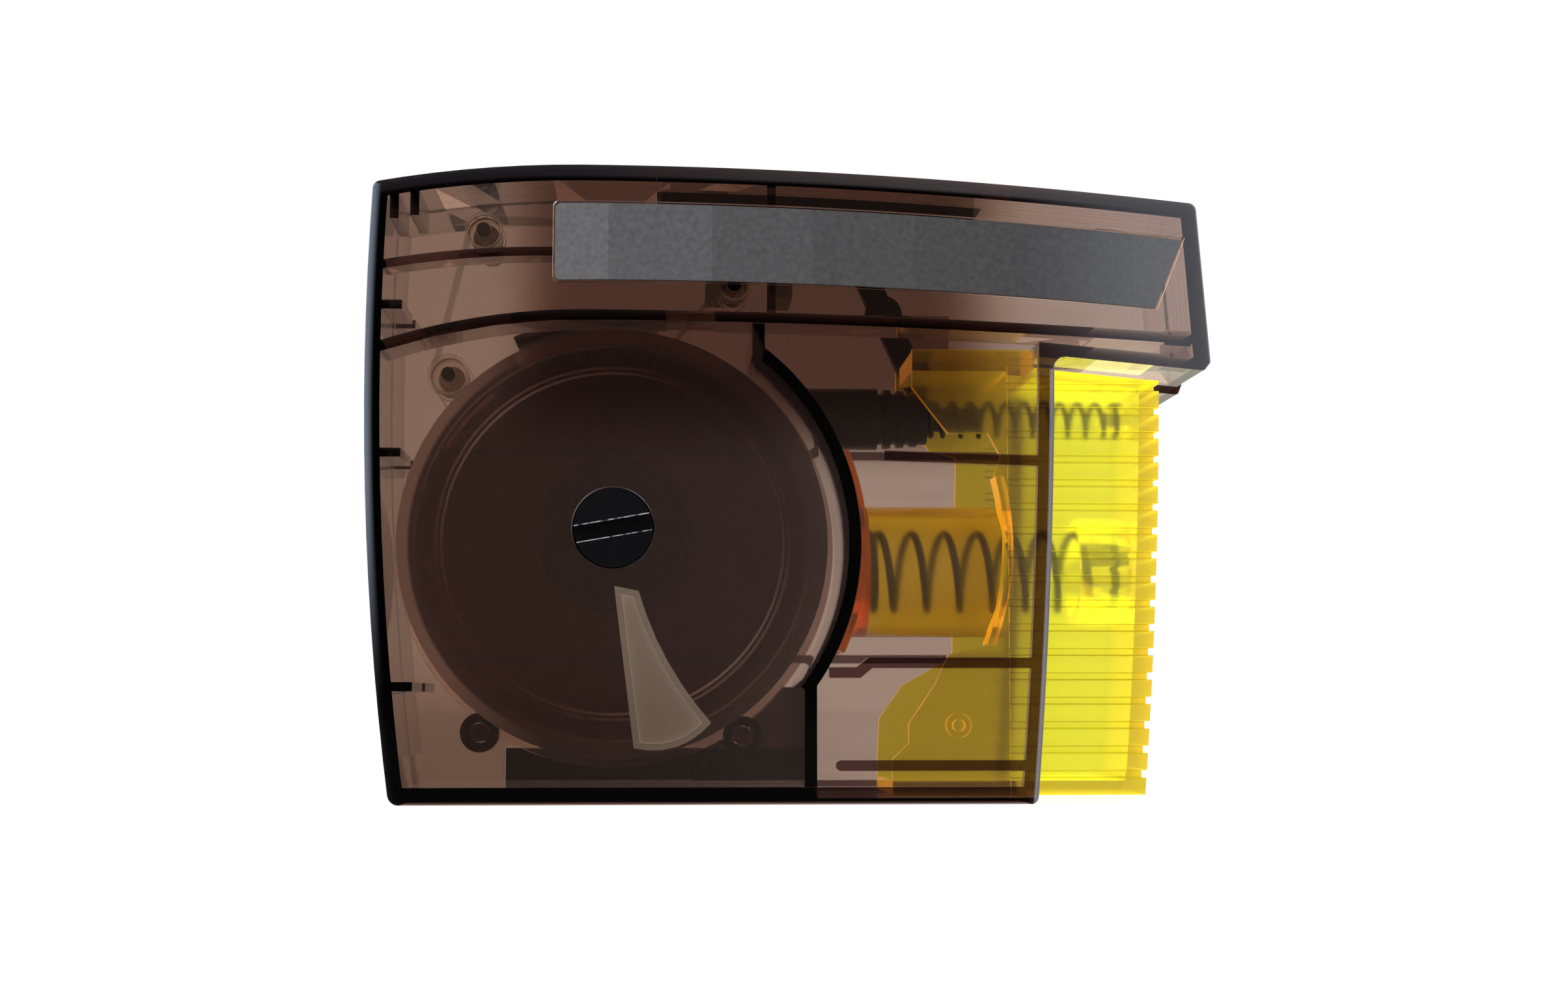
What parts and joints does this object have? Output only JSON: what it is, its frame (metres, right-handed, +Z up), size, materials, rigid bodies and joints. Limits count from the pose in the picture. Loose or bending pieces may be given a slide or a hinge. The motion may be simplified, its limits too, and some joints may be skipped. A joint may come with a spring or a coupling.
{
  "type": "fibre optic cleaning cassette",
  "caption": "Hand-held reel cleaner for fibre optic connectors: see-through case, spring-loaded squeeze lever that winds on cleaning tape, and shuttered cleaning windows.",
  "frame": {"origin": "on the base plane, halfway along the overall width and halfway through the thickness", "axes": "+X to the right as the front is seen, towards the squeeze lever; +Y from the front face to the rear face; +Z up, towards the cleaning windows"},
  "size_m": [0.1212, 0.033, 0.0911],
  "materials": {
    "smoke_plastic": "glossy translucent",
    "dark_smoke_plastic": "glossy translucent",
    "clear_plastic": "glossy translucent",
    "yellow_plastic": "satin translucent",
    "black_plastic": "matte",
    "natural_plastic": "satin",
    "grey_label": "satin",
    "steel": "bright",
    "paper": "matte",
    "foam": "matte",
    "felt": "matte"
  },
  "bodies": {
    "case": {"front_cover": "smoke_plastic", "rear_cover": "smoke_plastic", "front_label": "grey_label", "rear_label": "black_plastic", "divider_wall": "dark_smoke_plastic", "cartridge_front": "dark_smoke_plastic", "cartridge_rear": "dark_smoke_plastic", "clear_sheet": "clear_plastic", "level_window": "clear_plastic", "brake_washer": "felt", "cleaning_tape": "paper", "guide_pins": "steel", "main_spring": "steel", "upper_spring": "steel", "spring_tube": "yellow_plastic", "spring_post": "black_plastic", "tape_platform": "natural_plastic", "foam_pad": "foam", "window_frame": "black_plastic", "rocker_pin": "steel"},
    "lever": {"lever": "yellow_plastic", "feed_arm": "smoke_plastic"},
    "take_up": {"take_up_hub": "black_plastic", "take_up_knob": "black_plastic", "take_up_tape": "paper", "ratchet_wheel": "clear_plastic"},
    "supply": {"supply_hub": "black_plastic", "supply_tape": "paper"},
    "lower_roller": {"lower_guide_roller": "natural_plastic"},
    "upper_roller": {"upper_guide_roller": "natural_plastic"},
    "return_roller": {"return_guide_roller": "natural_plastic"},
    "shutter": {"shutter": "black_plastic"},
    "rocker": {"shutter_rocker": "black_plastic"}
  },
  "joints": [
    {"name": "lever_squeeze", "type": "slide", "parent": "case", "child": "lever", "axis": [-1, 0, 0], "range_m": [0, 0.0105], "stiffness_N_per_m": 300, "springref_m": -0.004, "deforming": ["main_spring", "upper_spring"]},
    {"name": "take_up_turn", "type": "hinge", "parent": "case", "child": "take_up", "pos_m": [-0.02537, 0, 0.0389], "axis": [0, -1, 0], "range_deg": [0, 23.1]},
    {"name": "supply_turn", "type": "hinge", "parent": "case", "child": "supply", "pos_m": [-0.02537, 0, 0.0389], "axis": [0, 1, 0], "range_deg": [0, 21.29]},
    {"name": "lower_roller_turn", "type": "hinge", "parent": "case", "child": "lower_roller", "pos_m": [-0.0505, 0, 0.0631], "axis": [0, 1, 0], "range_deg": [0, 94.15]},
    {"name": "upper_roller_turn", "type": "hinge", "parent": "case", "child": "upper_roller", "pos_m": [-0.0452, 0, 0.0842], "axis": [0, 1, 0], "range_deg": [0, 106.43]},
    {"name": "return_roller_turn", "type": "hinge", "parent": "case", "child": "return_roller", "pos_m": [-0.00823, 0, 0.07415], "axis": [0, -1, 0], "range_deg": [0, 139.88]},
    {"name": "shutter_slide", "type": "slide", "parent": "case", "child": "shutter", "axis": [0.9992, 0, -0.0405], "range_m": [0, 0.00803]},
    {"name": "rocker_turn", "type": "hinge", "parent": "case", "child": "rocker", "pos_m": [0.0155, 0, 0.074], "axis": [0, 1, 0], "range_deg": [0, 50.02]}
  ],
  "couplings": [
    {"joint": "take_up_turn", "follows": "lever_squeeze", "rad_per_m": 38.382},
    {"joint": "supply_turn", "follows": "lever_squeeze", "rad_per_m": 35.379},
    {"joint": "lower_roller_turn", "follows": "lever_squeeze", "rad_per_m": 156.48},
    {"joint": "upper_roller_turn", "follows": "lever_squeeze", "rad_per_m": 176.89},
    {"joint": "return_roller_turn", "follows": "lever_squeeze", "rad_per_m": 232.49},
    {"joint": "shutter_slide", "follows": "lever_squeeze", "ratio": 0.76489},
    {"joint": "rocker_turn", "follows": "lever_squeeze", "rad_per_m": 83.129}
  ]
}
